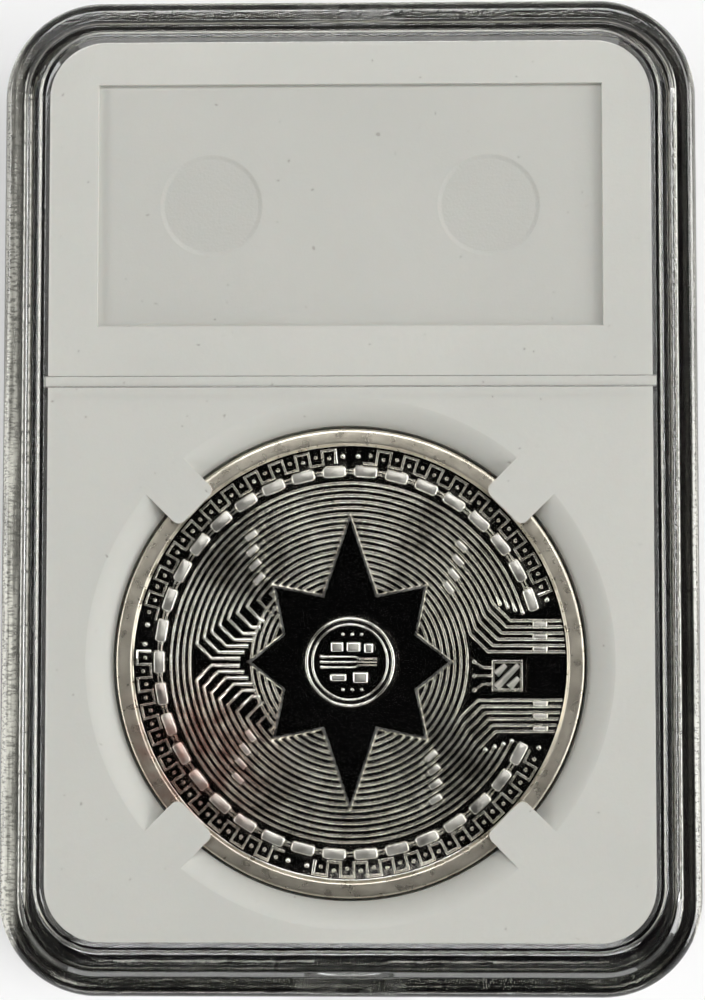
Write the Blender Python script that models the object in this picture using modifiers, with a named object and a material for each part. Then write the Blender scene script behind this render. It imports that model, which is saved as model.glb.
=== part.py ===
"""A graded coin slab: two clear shells, a white insert in two halves and the coin that they hold.

The slab lies on its back, face up. X runs across it, +Y towards its label end and +Z out of its face.
The origin is the middle of the footprint, on the surface that the slab lies on.
"""

import math

import bmesh
import bpy

MM = 0.001

# Driving dimensions of the holder
HOLDER_WIDTH = 59.3 * MM
HOLDER_HEIGHT = 84.9 * MM
HOLDER_THICKNESS = 8.2 * MM
HOLDER_CORNER = 8.4 * MM
CLEARANCE = 0.2 * MM
EDGE_EASE = 0.15 * MM

# The window, which sits a little nearer to the label end
WINDOW_WIDTH = 51.95 * MM
WINDOW_HEIGHT = 77.2 * MM
WINDOW_CORNER = 5.0 * MM
WINDOW_SHIFT = 0.5 * MM
WINDOW_THICKNESS = 1.0 * MM

# The stacking ridge that stands on the front shell's shoulder, round the window
SHOULDER_DROP = 0.4 * MM
FRONT_SHOULDER = 1.0 * MM
RIDGE_INSET = 1.7 * MM
RIDGE_LEDGE = 0.45 * MM
RIDGE_SLOPE = 0.35 * MM
RIDGE_ROOT = 0.3 * MM

# The sunk panels of the two windows
FRONT_SINK = 0.8 * MM
REAR_SINK = 0.7 * MM
REAR_SHOULDER = 0.8 * MM
PANEL_FILLET = 0.3 * MM

# The joint between the shells: a tongue on the rear one in a groove in the front one
TONGUE_INSET = 1.75 * MM
TONGUE_THICKNESS = 0.5 * MM
TONGUE_RISE = 1.9 * MM
TONGUE_ROOT = 1.0 * MM

# The pry slots in the middle of the short edges, and the dips in the shoulder above them
PRY_WIDTH = 9.8 * MM
PRY_DEPTH = 0.9 * MM
PRY_HEIGHT = 0.9 * MM
PRY_CORNER = 0.3 * MM
SCALLOP_SINK = 0.2 * MM
SCALLOP_REACH = 1.6 * MM

# The rib across the window, between the label and the coin
RIB_Y = 9.5 * MM
RIB_WIDTH = 1.0 * MM
RIB_HEIGHT = 0.35 * MM
RIB_ROOT = 0.2 * MM
RIB_LET_IN = 0.3 * MM

# The coin
COIN_RADIUS = 20.0 * MM
COIN_THICKNESS = 3.0 * MM
COIN_RIM = 1.3 * MM
COIN_FIELD_SINK = 0.35 * MM
COIN_EDGE_ROUND = 0.15 * MM
COIN_Y = -14.36 * MM

# The insert's well and its prongs
WELL_RADIUS = 22.25 * MM
WELL_SLOPE_DEPTH = 1.1 * MM
BORE_GAP = 0.25 * MM
PRONG_WIDTH = 4.4 * MM
PRONG_TIP_RADIUS = 18.5 * MM
PRONG_THICKNESS = 0.45 * MM
PRONG_ROUND = 0.7 * MM
PRONG_PAST_WELL = 8.0 * MM
PRONG_ANGLES = (45, 135, 225, 315)

# The label recess and its ejector marks
LABEL_WIDTH = 43.4 * MM
LABEL_HEIGHT = 21.05 * MM
LABEL_Y = 24.9 * MM
LABEL_DEPTH = 0.4 * MM
MARK_RADIUS = 4.25 * MM
MARK_X = 11.95 * MM
MARK_DEPTH = 0.08 * MM

# Heights, worked out from the outside in
SHOULDER_TOP = HOLDER_THICKNESS - SHOULDER_DROP
REAR_WINDOW_BACK = REAR_SINK
REAR_WINDOW_FRONT = REAR_WINDOW_BACK + WINDOW_THICKNESS
FRONT_WINDOW_FRONT = HOLDER_THICKNESS - FRONT_SINK
FRONT_WINDOW_BACK = FRONT_WINDOW_FRONT - WINDOW_THICKNESS
INSERT_BACK = REAR_WINDOW_FRONT + CLEARANCE
INSERT_FRONT = FRONT_WINDOW_BACK - CLEARANCE
INSERT_MIDDLE = (INSERT_BACK + INSERT_FRONT) / 2
PARTING = HOLDER_THICKNESS / 2
CUT_MARGIN = 2.0 * MM

# The space that the insert fills
CAVITY_MARGIN = 0.3 * MM
CAVITY_WIDTH = WINDOW_WIDTH + 2 * CAVITY_MARGIN
CAVITY_HEIGHT = WINDOW_HEIGHT + 2 * CAVITY_MARGIN
CAVITY_CORNER = WINDOW_CORNER + CAVITY_MARGIN

CORNER_STEPS = 12
WELL_STEPS = 96


def clear_scene():
    for found in list(bpy.data.objects):
        bpy.data.objects.remove(found, do_unlink=True)


def new_collection(name):
    made = bpy.data.collections.new(name)
    bpy.context.scene.collection.children.link(made)
    return made


def plastic(name, colour, roughness, metallic=0.0, transmission=0.0):
    made = bpy.data.materials.new(name)
    made.use_nodes = True
    shader = made.node_tree.nodes["Principled BSDF"]
    shader.inputs["Base Color"].default_value = (*colour, 1.0)
    shader.inputs["Roughness"].default_value = roughness
    shader.inputs["Metallic"].default_value = metallic
    shader.inputs["Transmission Weight"].default_value = transmission
    return made


def rounded_outline(width, height, radius, steps=CORNER_STEPS):
    """The points of a rectangle with round corners, about the origin."""
    points = []
    for corner in range(4):
        side_x = 1 if corner in (0, 3) else -1
        side_y = 1 if corner in (0, 1) else -1
        for step in range(steps + 1):
            angle = math.radians(90 * (corner + step / steps))
            x = side_x * (width / 2 - radius) + radius * math.cos(angle)
            y = side_y * (height / 2 - radius) + radius * math.sin(angle)
            points.append((x, y))
    return points


def circle_outline(radius, steps=WELL_STEPS):
    turns = [2 * math.pi * step / steps for step in range(steps)]
    return [(radius * math.cos(turn), radius * math.sin(turn)) for turn in turns]


def extruded(name, loops, low, high, collection, centre=(0.0, 0.0)):
    """A flat outline, with any further loops as holes in it, extruded from height low to height high."""
    curve = bpy.data.curves.new(name, "CURVE")
    curve.dimensions = "2D"
    curve.fill_mode = "BOTH"
    curve.extrude = (high - low) / 2
    for loop in loops:
        spline = curve.splines.new("POLY")
        spline.points.add(len(loop) - 1)
        for point, (x, y) in zip(spline.points, loop):
            point.co = (x, y, 0.0, 1.0)
        spline.use_cyclic_u = True
    drawn = bpy.data.objects.new(name + "_outline", curve)
    drawn.location = (centre[0], centre[1], (low + high) / 2)
    collection.objects.link(drawn)
    return as_mesh(drawn, name, collection)


def as_mesh(drawn, name, collection):
    """Replaces a curve object with the closed mesh that it shows."""
    bpy.context.view_layer.update()
    graph = bpy.context.evaluated_depsgraph_get()
    mesh = bpy.data.meshes.new_from_object(drawn.evaluated_get(graph))
    mesh.name = name
    made = bpy.data.objects.new(name, mesh)
    made.matrix_world = drawn.matrix_world.copy()
    curve = drawn.data
    bpy.data.objects.remove(drawn, do_unlink=True)
    bpy.data.curves.remove(curve)
    shape = bmesh.new()
    shape.from_mesh(mesh)
    bmesh.ops.remove_doubles(shape, verts=shape.verts, dist=1e-6)
    bmesh.ops.dissolve_limit(
        shape, angle_limit=math.radians(0.5), verts=shape.verts, edges=shape.edges
    )
    bmesh.ops.recalc_face_normals(shape, faces=shape.faces)
    shape.to_mesh(mesh)
    shape.free()
    collection.objects.link(made)
    return made


def as_cutter(made):
    made.hide_render = True
    made.display_type = "WIRE"
    return made


def cut(body, cutter, operation="DIFFERENCE"):
    step = body.modifiers.new(cutter.name, "BOOLEAN")
    step.operation = operation
    step.solver = "EXACT"
    step.object = cutter


def bevel_edges(made, width, segments, wanted):
    """Rounds the edges for which wanted(middle point, direction) is true."""
    shape = bmesh.new()
    shape.from_mesh(made.data)
    place = made.matrix_world
    chosen = []
    for edge in shape.edges:
        first, last = (place @ vertex.co for vertex in edge.verts)
        if wanted((first + last) / 2, last - first):
            chosen.append(edge)
    bmesh.ops.bevel(
        shape,
        geom=chosen,
        offset=width,
        offset_type="OFFSET",
        segments=segments,
        profile=0.5,
        affect="EDGES",
    )
    shape.to_mesh(made.data)
    shape.free()


def at_height(height):
    """Picks the flat-lying edges at one height."""

    def wanted(middle, direction):
        return abs(middle.z - height) < 1e-6 and abs(direction.z) < 1e-6

    return wanted


def finish(made, material):
    made.data.materials.clear()
    made.data.materials.append(material)
    made.data.shade_smooth()
    made.data.set_sharp_from_angle(angle=math.radians(30))
    return made


def holder_block(name, low, high, collection):
    outline = rounded_outline(HOLDER_WIDTH, HOLDER_HEIGHT, HOLDER_CORNER)
    return extruded(name, [outline], low, high, collection)


def window_cutter(name, low, high, foot, cutters):
    """The sunk panel in front of a window, with a fillet round its foot."""
    outline = rounded_outline(WINDOW_WIDTH, WINDOW_HEIGHT, WINDOW_CORNER)
    made = extruded(name, [outline], low, high, cutters, (0.0, WINDOW_SHIFT))
    bevel_edges(made, PANEL_FILLET, 3, at_height(foot))
    return as_cutter(made)


def cavity_cutter(name, low, high, cutters):
    outline = rounded_outline(CAVITY_WIDTH, CAVITY_HEIGHT, CAVITY_CORNER)
    return as_cutter(
        extruded(name, [outline], low, high, cutters, (0.0, WINDOW_SHIFT))
    )


def inset_outline(inset):
    """The holder's outline moved inwards by inset."""
    width = HOLDER_WIDTH - 2 * inset
    height = HOLDER_HEIGHT - 2 * inset
    return rounded_outline(width, height, HOLDER_CORNER - inset)


def ring_cutter(name, outer_inset, inner_inset, low, high, cutters):
    loops = [inset_outline(outer_inset), inset_outline(inner_inset)]
    return as_cutter(extruded(name, loops, low, high, cutters))


def pry_cutter(name, side, low, high, cutters):
    """A short slot in the rim at one short edge, open at the edge and at the parting line."""
    outline = rounded_outline(PRY_WIDTH, 2 * PRY_DEPTH, PRY_CORNER, 4)
    centre = (0.0, side * HOLDER_HEIGHT / 2)
    return as_cutter(extruded(name, [outline], low, high, cutters, centre))


def scallop_cutter(name, side, cutters):
    """A long shallow dip in the front shoulder, in the middle of one short edge."""
    radius = (PRY_WIDTH / 2) ** 2 / (2 * SCALLOP_SINK)
    bpy.ops.mesh.primitive_cylinder_add(
        vertices=360,
        radius=radius,
        depth=2 * SCALLOP_REACH,
        rotation=(math.radians(90), 0.0, 0.0),
        location=(
            0.0,
            side * HOLDER_HEIGHT / 2,
            SHOULDER_TOP + radius - SCALLOP_SINK,
        ),
    )
    made = bpy.context.active_object
    made.name = name
    for owner in list(made.users_collection):
        owner.objects.unlink(made)
    cutters.objects.link(made)
    return as_cutter(made)


def make_rear_shell(parts, cutters, material):
    body = holder_block("rear_shell", 0.0, PARTING - CLEARANCE / 2, parts)
    bevel_edges(body, REAR_SHOULDER, 4, at_height(0.0))
    tongue_loops = [
        inset_outline(TONGUE_INSET),
        inset_outline(TONGUE_INSET + TONGUE_THICKNESS),
    ]
    tongue_top = PARTING + TONGUE_RISE
    tongue = extruded("tongue", tongue_loops, PARTING - TONGUE_ROOT, tongue_top, cutters)
    bevel_edges(tongue, EDGE_EASE, 2, at_height(tongue_top))
    cut(body, as_cutter(tongue), "UNION")
    cut(body, cavity_cutter("rear_cavity", REAR_WINDOW_FRONT, tongue_top + CUT_MARGIN, cutters))
    panel = window_cutter("rear_panel", -CUT_MARGIN, REAR_WINDOW_BACK, REAR_WINDOW_BACK, cutters)
    cut(body, panel)
    for side, end in ((-1, "bottom"), (1, "top")):
        high = PARTING + CUT_MARGIN
        cut(body, pry_cutter("pry_" + end, side, PARTING - PRY_HEIGHT, high, cutters))
    return finish(body, material)


def make_front_shell(parts, cutters, material):
    body = holder_block("front_shell", PARTING + CLEARANCE / 2, SHOULDER_TOP, parts)
    bevel_edges(body, FRONT_SHOULDER, 5, at_height(SHOULDER_TOP))
    cut(body, front_ridge(cutters), "UNION")
    cut(body, cavity_cutter("front_cavity", PARTING - CUT_MARGIN, FRONT_WINDOW_BACK, cutters))
    groove = ring_cutter(
        "groove",
        TONGUE_INSET - CLEARANCE,
        TONGUE_INSET + TONGUE_THICKNESS + CLEARANCE,
        PARTING - CUT_MARGIN,
        PARTING + TONGUE_RISE + CLEARANCE,
        cutters,
    )
    cut(body, groove)
    panel = window_cutter(
        "front_panel",
        FRONT_WINDOW_FRONT,
        HOLDER_THICKNESS + CUT_MARGIN,
        FRONT_WINDOW_FRONT,
        cutters,
    )
    cut(body, panel)
    for side, end in ((-1, "bottom"), (1, "top")):
        cut(body, scallop_cutter("scallop_" + end, side, cutters))
    cut(body, window_rib(cutters), "UNION")
    return finish(body, material)


def front_ridge(cutters):
    """The raised ring on the front shoulder, with sloped edges."""
    inner = rounded_outline(
        WINDOW_WIDTH + 2 * RIDGE_LEDGE, WINDOW_HEIGHT + 2 * RIDGE_LEDGE, WINDOW_CORNER + RIDGE_LEDGE
    )
    shifted = [(x, y + WINDOW_SHIFT) for x, y in inner]
    low = SHOULDER_TOP - RIDGE_ROOT
    made = extruded("ridge", [inset_outline(RIDGE_INSET), shifted], low, HOLDER_THICKNESS, cutters)
    bevel_edges(made, RIDGE_SLOPE, 3, at_height(HOLDER_THICKNESS))
    return as_cutter(made)


def window_rib(cutters):
    """The bar across the front window, let into the ridge at both ends."""
    bpy.ops.mesh.primitive_cube_add(size=1.0)
    made = bpy.context.active_object
    made.name = "window_rib"
    low = FRONT_WINDOW_FRONT - RIB_ROOT
    high = FRONT_WINDOW_FRONT + RIB_HEIGHT
    made.scale = (WINDOW_WIDTH + 2 * RIB_LET_IN, RIB_WIDTH, high - low)
    made.location = (0.0, RIB_Y, (low + high) / 2)
    bpy.context.view_layer.update()
    made.data.transform(made.matrix_world)
    made.matrix_world.identity()
    bevel_edges(made, EDGE_EASE, 2, lambda middle, direction: long_top(middle, direction, high))
    for owner in list(made.users_collection):
        owner.objects.unlink(made)
    cutters.objects.link(made)
    return as_cutter(made)


def long_top(middle, direction, height):
    return abs(middle.z - height) < 1e-6 and abs(direction.x) > RIB_WIDTH


def prong(name, angle, low, high, cutters):
    """The space of one finger, from inside the well's wall to over the coin's rim."""
    length = WELL_RADIUS + PRONG_PAST_WELL - PRONG_TIP_RADIUS
    half = PRONG_WIDTH / 2
    outline = [(length / 2, -half), (length / 2, half)]
    for corner, sign in ((1, 1), (2, -1)):
        for step in range(5):
            turn = math.radians(90 * (corner + step / 4))
            x = -length / 2 + PRONG_ROUND + PRONG_ROUND * math.cos(turn)
            y = sign * (half - PRONG_ROUND) + PRONG_ROUND * math.sin(turn)
            outline.append((x, y))
    turned = []
    middle = PRONG_TIP_RADIUS + length / 2
    for x, y in outline:
        out = x + middle
        turned.append(
            (
                out * math.cos(angle) - y * math.sin(angle),
                out * math.sin(angle) + y * math.cos(angle),
            )
        )
    return as_cutter(extruded(name, [turned], low, high, cutters, (0.0, COIN_Y)))


def well_cutter(name, face, bottom, cutters):
    """A straight bore for the coin, opening in a cone at the insert's outer face.

    The prongs' spaces are taken out of it, so that it leaves them standing on the plate."""
    outwards = 1 if face > bottom else -1
    bore = COIN_RADIUS + BORE_GAP
    lip = face - outwards * WELL_SLOPE_DEPTH
    flare = (WELL_RADIUS - bore) * CUT_MARGIN / WELL_SLOPE_DEPTH
    profile = [
        (0.0, face + outwards * CUT_MARGIN),
        (WELL_RADIUS + flare, face + outwards * CUT_MARGIN),
        (bore, lip),
        (bore, bottom - outwards * CUT_MARGIN),
        (0.0, bottom - outwards * CUT_MARGIN),
    ]
    if outwards < 0:
        profile.reverse()
    made = turned_solid(name, profile, WELL_STEPS, cutters)
    made.location = (0.0, COIN_Y, 0.0)
    root = face - outwards * PRONG_THICKNESS
    past = face + outwards * 2 * CUT_MARGIN
    for index, degrees in enumerate(PRONG_ANGLES):
        finger = f"{name}_prong_{index + 1}"
        angle = math.radians(degrees)
        cut(made, prong(finger, angle, min(root, past), max(root, past), cutters))
    return as_cutter(made)


def turned_solid(name, profile, steps, collection):
    """A profile of (radius, height) pairs, from top to bottom, turned about Z."""
    mesh = bpy.data.meshes.new(name)
    points = [(radius, 0.0, height) for radius, height in profile]
    edges = [(index, index + 1) for index in range(len(points) - 1)]
    mesh.from_pydata(points, edges, [])
    made = bpy.data.objects.new(name, mesh)
    collection.objects.link(made)
    screw = made.modifiers.new("turn", "SCREW")
    screw.steps = steps
    screw.render_steps = steps
    screw.use_merge_vertices = True
    screw.merge_threshold = 1e-6
    return made


def insert_plate(name, low, high, parts):
    gap = CLEARANCE
    outline = rounded_outline(
        CAVITY_WIDTH - 2 * gap, CAVITY_HEIGHT - 2 * gap, CAVITY_CORNER - gap
    )
    return extruded(name, [outline], low, high, parts, (0.0, WINDOW_SHIFT))


def make_rear_insert(parts, cutters, material):
    top = INSERT_MIDDLE - CLEARANCE / 2
    body = insert_plate("rear_insert", INSERT_BACK, top, parts)
    cut(body, well_cutter("rear_well", INSERT_BACK, top, cutters))
    return finish(body, material)


def make_front_insert(parts, cutters, material):
    bottom = INSERT_MIDDLE + CLEARANCE / 2
    body = insert_plate("front_insert", bottom, INSERT_FRONT, parts)
    cut(body, well_cutter("front_well", INSERT_FRONT, bottom, cutters))
    label_floor = INSERT_FRONT - LABEL_DEPTH
    half_width = LABEL_WIDTH / 2
    half_height = LABEL_HEIGHT / 2
    label = [
        (-half_width, -half_height),
        (half_width, -half_height),
        (half_width, half_height),
        (-half_width, half_height),
    ]
    high = INSERT_FRONT + CUT_MARGIN
    recess = extruded("label_recess", [label], label_floor, high, cutters, (0.0, LABEL_Y))
    cut(body, as_cutter(recess))
    for side, end in ((-1, "left"), (1, "right")):
        mark = extruded(
            "ejector_mark_" + end,
            [circle_outline(MARK_RADIUS, 48)],
            label_floor - MARK_DEPTH,
            high,
            cutters,
            (side * MARK_X, LABEL_Y),
        )
        cut(body, as_cutter(mark))
    return finish(body, material)


def make_coin(parts, material):
    """A disc with a raised rim on both faces."""
    half = COIN_THICKNESS / 2
    field = half - COIN_FIELD_SINK
    rim_inner = COIN_RADIUS - COIN_RIM
    face = [
        (0.0, field),
        (rim_inner - COIN_FIELD_SINK / 2, field),
        (rim_inner, half),
        (COIN_RADIUS - COIN_EDGE_ROUND, half),
        (COIN_RADIUS, half - COIN_EDGE_ROUND),
    ]
    profile = face + [(radius, -height) for radius, height in reversed(face)]
    made = turned_solid("coin", profile, 120, parts)
    made.location = (0.0, COIN_Y, INSERT_MIDDLE)
    return finish(made, material)


def main():
    clear_scene()
    parts = new_collection("graded_coin_slab")
    cutters = new_collection("cutters")
    clear = plastic("clear_styrene", (0.95, 0.96, 0.96), 0.05, transmission=1.0)
    white = plastic("white_insert_plastic", (0.58, 0.58, 0.55), 0.45)
    silver = plastic("coin_metal", (0.62, 0.6, 0.56), 0.2, metallic=1.0)
    make_rear_shell(parts, cutters, clear)
    make_rear_insert(parts, cutters, white)
    make_coin(parts, silver)
    make_front_insert(parts, cutters, white)
    make_front_shell(parts, cutters, clear)


main()
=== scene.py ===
"""The looks of the graded coin slab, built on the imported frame.

Lengths are in metres, except on the coin's own drawing, which is in millimetres about its middle.
"""

import math

import bmesh
import bpy
from mathutils import Matrix, Vector


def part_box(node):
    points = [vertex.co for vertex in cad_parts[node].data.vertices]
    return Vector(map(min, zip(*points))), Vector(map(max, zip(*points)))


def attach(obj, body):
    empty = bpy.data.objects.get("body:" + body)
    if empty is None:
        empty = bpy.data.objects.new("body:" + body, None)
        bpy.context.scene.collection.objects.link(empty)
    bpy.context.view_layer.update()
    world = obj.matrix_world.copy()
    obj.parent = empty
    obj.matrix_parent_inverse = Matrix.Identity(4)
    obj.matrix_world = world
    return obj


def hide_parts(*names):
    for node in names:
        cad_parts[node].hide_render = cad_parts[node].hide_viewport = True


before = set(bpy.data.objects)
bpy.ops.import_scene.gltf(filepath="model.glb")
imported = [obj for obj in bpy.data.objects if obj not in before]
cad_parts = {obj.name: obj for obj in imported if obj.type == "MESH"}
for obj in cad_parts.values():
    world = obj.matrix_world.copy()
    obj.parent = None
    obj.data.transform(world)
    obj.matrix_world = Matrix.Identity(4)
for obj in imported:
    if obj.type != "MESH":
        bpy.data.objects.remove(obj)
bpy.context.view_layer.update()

MM = 0.001

# Places read from the frame
FRONT_LOW, FRONT_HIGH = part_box("front_shell")
REAR_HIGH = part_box("rear_shell")[1]
PLATE_LOW, PLATE_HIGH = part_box("front_insert")
BACK_PLATE_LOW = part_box("rear_insert")[0]
COIN_LOW, COIN_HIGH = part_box("coin")
COIN_CENTRE = (COIN_LOW + COIN_HIGH) / 2

# The holder's outlines
HOLDER_CORNER = 8.4 * MM
CLEARANCE = 0.2 * MM
PLATE_TO_WINDOW = 0.1 * MM
CAVITY_GROWTH = 0.3 * MM
WINDOW_HALF_X = PLATE_HIGH.x - PLATE_TO_WINDOW
WINDOW_HALF_Y = (PLATE_HIGH.y - PLATE_LOW.y) / 2 - PLATE_TO_WINDOW
WINDOW_Y = (PLATE_HIGH.y + PLATE_LOW.y) / 2
WINDOW_CORNER = 5.0 * MM

# Heights of the windows and of the joint between the shells
PANE_THICKNESS = 1.0 * MM
PANE_BACK = PLATE_HIGH.z + CLEARANCE
PANE_FRONT = PANE_BACK + PANE_THICKNESS
REAR_PANE_FRONT = BACK_PLATE_LOW.z - CLEARANCE
REAR_PANE_BACK = REAR_PANE_FRONT - PANE_THICKNESS
REAR_PARTING = FRONT_LOW.z - CLEARANCE

# Rounds and insets of the rim
SHOULDER_TOP = FRONT_HIGH.z - 0.4 * MM
FRONT_SHOULDER = 1.0 * MM
REAR_SHOULDER = 0.8 * MM
RIDGE_FOOT = 1.65 * MM
RIDGE_TILT = 39
RIDGE_BEND = 0.25 * MM
RIDGE_LEDGE = 0.45 * MM
RIDGE_ROUND = 0.33 * MM
RIDGE_FILLET = 0.07 * MM
WINDOW_FOOT = 0.2 * MM
LIP_INSET = -0.2 * MM
LIP_ROUND = 0.15 * MM
REAR_FILLET = 0.25 * MM
EDGE_ROUND = 0.12 * MM
TONGUE_INSET = 1.75 * MM
TONGUE_THICKNESS = 0.5 * MM
FINISH_SEAM = 0.02 * MM

# The rib across the window, and the scallops, slots, painted edge highlights and shade, and gate marks of
# the edges
RIB_Y = 9.5 * MM
RIB_WIDTH = 1.0 * MM
RIB_HEIGHT = 0.35 * MM
PRY_WIDTH = 9.8 * MM
PRY_DEPTH = 0.9 * MM
PRY_HEIGHT = 0.9 * MM
PRY_CORNER = 0.3 * MM
SCALLOP_SINK = 0.2 * MM
SCALLOP_REACH = 2.7 * MM
# Where the painted highlight bands on the left and right shoulders end, and the width of the painted edge
# shade
LEFT_HIGHLIGHT_LIMIT = FRONT_LOW.x + 1.75 * MM
RIGHT_HIGHLIGHT_LIMIT = FRONT_HIGH.x - 0.75 * MM
EDGE_SHADE_START = 0.1 * MM
GATE_PLACES = (-19.3 * MM, 18.6 * MM)
GATE_INSET = 0.4 * MM
GATE_RADIUS = 0.24 * MM
GATE_STEPS = 8

# The insert's well, prongs and label recess
WELL_RADIUS = 22.25 * MM
WELL_SLOPE_DEPTH = 1.1 * MM
WELL_BLEND = 0.5 * MM
WELL_LIFT = 0.02 * MM
WELL_POWER = 1.6
WELL_STEPS = 10
BORE_RADIUS = COIN_HIGH.x + 0.25 * MM
PRONG_WIDTH = 4.4 * MM
PRONG_TIP_RADIUS = 18.5 * MM
PRONG_THICKNESS = 0.45 * MM
PRONG_ROUND = 0.7 * MM
PRONG_ANGLES = (45, 135, 225, 315)
LABEL_WIDTH = 43.4 * MM
LABEL_HEIGHT = 21.05 * MM
LABEL_Y = 24.9 * MM
LABEL_DEPTH = 0.4 * MM
MARK_RADIUS = 4.25 * MM
MARK_X = 11.95 * MM
MARK_DEPTH = 0.08 * MM
MARK_BLEND = 0.28 * MM
MARK_LIFT = 0.004 * MM
PLATE_ROUND = 0.1 * MM

CLEAR_SLOT, PANE_SLOT, WELD_SLOT, EDGE_SLOT, RIB_SLOT = range(5)

# How finely curves are stepped, how far cutters reach past, and the angles that shade as edges
CORNER_STEPS = 24
SHORT_EDGE_STEPS = 95
TURNED_STEPS = 192
CUT_MARGIN = 2.0 * MM
FLAT_LIMIT = 0.9999
SHELL_SHARP = 32
PLATE_SHARP = 60
COIN_SHARP = 40
BEVEL_FROM = 40

# How much the plastics bend light
STYRENE_INDEX = 1.59
WELD_INDEX = 1.1


# ---- meshes


class Shape:
    """Points and faces gathered for one mesh. Each face keeps its material slot and its shading."""

    def __init__(self):
        self.points = []
        self.faces = []
        self.slots = []
        self.smooth = []

    def add_points(self, points):
        first = len(self.points)
        self.points.extend(points)
        return list(range(first, len(self.points)))

    def add_face(self, corners, slot=0, smooth=True):
        self.faces.append(list(corners))
        self.slots.append(slot)
        self.smooth.append(smooth)

    def bridge(self, first, second, slot=0, smooth=True):
        """A band of quads between two closed loops of equal length."""
        count = len(first)
        for index in range(count):
            after = (index + 1) % count
            corners = (first[index], second[index], second[after], first[after])
            self.add_face(corners, slot, smooth)

    def stack(self, loops, slot=0, upwards=False):
        """Bands between all the loops of a list, from its first loop down or up to its last."""
        for upper, lower in zip(loops, loops[1:]):
            if upwards:
                upper, lower = lower, upper
            self.bridge(upper, lower, slot)

    def build(self, name, materials, sharp_angle=30):
        mesh = bpy.data.meshes.new(name)
        mesh.from_pydata(self.points, [], self.faces)
        mesh.polygons.foreach_set("material_index", self.slots)
        mesh.polygons.foreach_set("use_smooth", self.smooth)
        for material in materials:
            mesh.materials.append(material)
        mesh.set_sharp_from_angle(angle=math.radians(sharp_angle))
        return new_object(name, mesh)


def new_object(name, data):
    """An object in the scene that shows a mesh, a lamp or a camera."""
    made = bpy.data.objects.new(name, data)
    bpy.context.scene.collection.objects.link(made)
    return made


def rounded_loop(half_x, half_y, radius, centre_y, height, steps=CORNER_STEPS, between=0):
    """The points of a rectangle with round corners, anticlockwise from above.

    Between is the number of extra points along each of its short edges."""
    points = []
    straight_x = half_x - radius
    straight_y = half_y - radius
    for corner in range(4):
        side_x = 1 if corner in (0, 3) else -1
        side_y = 1 if corner in (0, 1) else -1
        for step in range(steps + 1):
            angle = math.radians(90 * (corner + step / steps))
            x = side_x * straight_x + radius * math.cos(angle)
            y = side_y * straight_y + radius * math.sin(angle)
            points.append((x, centre_y + y, height))
        if side_x * side_y > 0:
            for step in range(1, between + 1):
                x = side_x * straight_x * (1 - 2 * step / (between + 1))
                points.append((x, centre_y + side_y * half_y, height))
    return points


def outline_loop(outline, inset, height):
    """The holder's rim or its window, moved inwards by inset, at one height."""
    half_x, half_y, corner, centre_y = WINDOW_HALF_X, WINDOW_HALF_Y, WINDOW_CORNER, WINDOW_Y
    if outline == "rim":
        half_x, half_y, corner, centre_y = FRONT_HIGH.x, FRONT_HIGH.y, HOLDER_CORNER, 0.0
    half_x -= inset
    half_y -= inset
    return rounded_loop(half_x, half_y, corner - inset, centre_y, height, between=SHORT_EDGE_STEPS)


def arc(outline, inset, height, radius, start, end, slot, steps=8):
    """A rounded part of a shell's section. Angle 0 points outwards and 90 upwards."""
    points = []
    for step in range(steps + 1):
        angle = math.radians(start + (end - start) * step / steps)
        across = inset - radius * math.cos(angle)
        points.append((outline, across, height + radius * math.sin(angle), slot))
    return points


def slope(outline, foot, low, high, slot):
    """A straight incline down to an inset, rounded at its top and filleted at its foot."""
    turn = math.radians(RIDGE_TILT)
    straight = (high - low - 2 * RIDGE_BEND * (1 - math.cos(turn))) / math.tan(turn)
    crest = foot + 2 * RIDGE_BEND * math.sin(turn) + straight
    points = arc(outline, crest, high - RIDGE_BEND, RIDGE_BEND, 90, 90 - RIDGE_TILT, slot, 6)
    return points + arc(outline, foot, low + RIDGE_BEND, RIDGE_BEND, 270 - RIDGE_TILT, 270, slot, 6)


def shell_from_section(name, section, materials):
    """A shell whose section runs from the middle of its upper face, round the rim, to its lower face."""
    shape = Shape()
    loops = []
    for outline, inset, height, slot in section:
        loops.append(shape.add_points(outline_loop(outline, inset, height)))
    shape.add_face(loops[0], PANE_SLOT, smooth=False)
    for index in range(len(loops) - 1):
        shape.bridge(loops[index], loops[index + 1], section[index][3])
    shape.add_face(reversed(loops[-1]), PANE_SLOT, smooth=False)
    return shape.build(name, materials)


def boolean(made, cutter, operation="DIFFERENCE"):
    """Cuts a shape out of a mesh, or joins it on, and puts the result in the mesh."""
    step = made.modifiers.new("cut", "BOOLEAN")
    step.operation = operation
    step.solver = "EXACT"
    step.object = cutter
    bake_modifiers(made)
    bpy.data.objects.remove(cutter, do_unlink=True)


def bake_modifiers(made):
    bpy.context.view_layer.update()
    graph = bpy.context.evaluated_depsgraph_get()
    mesh = bpy.data.meshes.new_from_object(made.evaluated_get(graph))
    made.modifiers.clear()
    made.data = mesh


def settle_shading(made, sharp_angle):
    """Keeps flat faces flat beside their rounded edges."""
    made.data.set_sharp_from_angle(angle=math.radians(sharp_angle))
    weigh = made.modifiers.new("weigh", "WEIGHTED_NORMAL")
    weigh.keep_sharp = True
    weigh.weight = 100
    bake_modifiers(made)


def prism(name, loop, low, high, materials):
    """An outline, anticlockwise, raised from low to high. The height of its own points doesn't count."""
    shape = Shape()
    top = shape.add_points([(point[0], point[1], high) for point in loop])
    bottom = shape.add_points([(point[0], point[1], low) for point in loop])
    shape.add_face(top, smooth=False)
    shape.bridge(top, bottom)
    shape.add_face(reversed(bottom), smooth=False)
    return shape.build(name, materials)


# ---- materials


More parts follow.
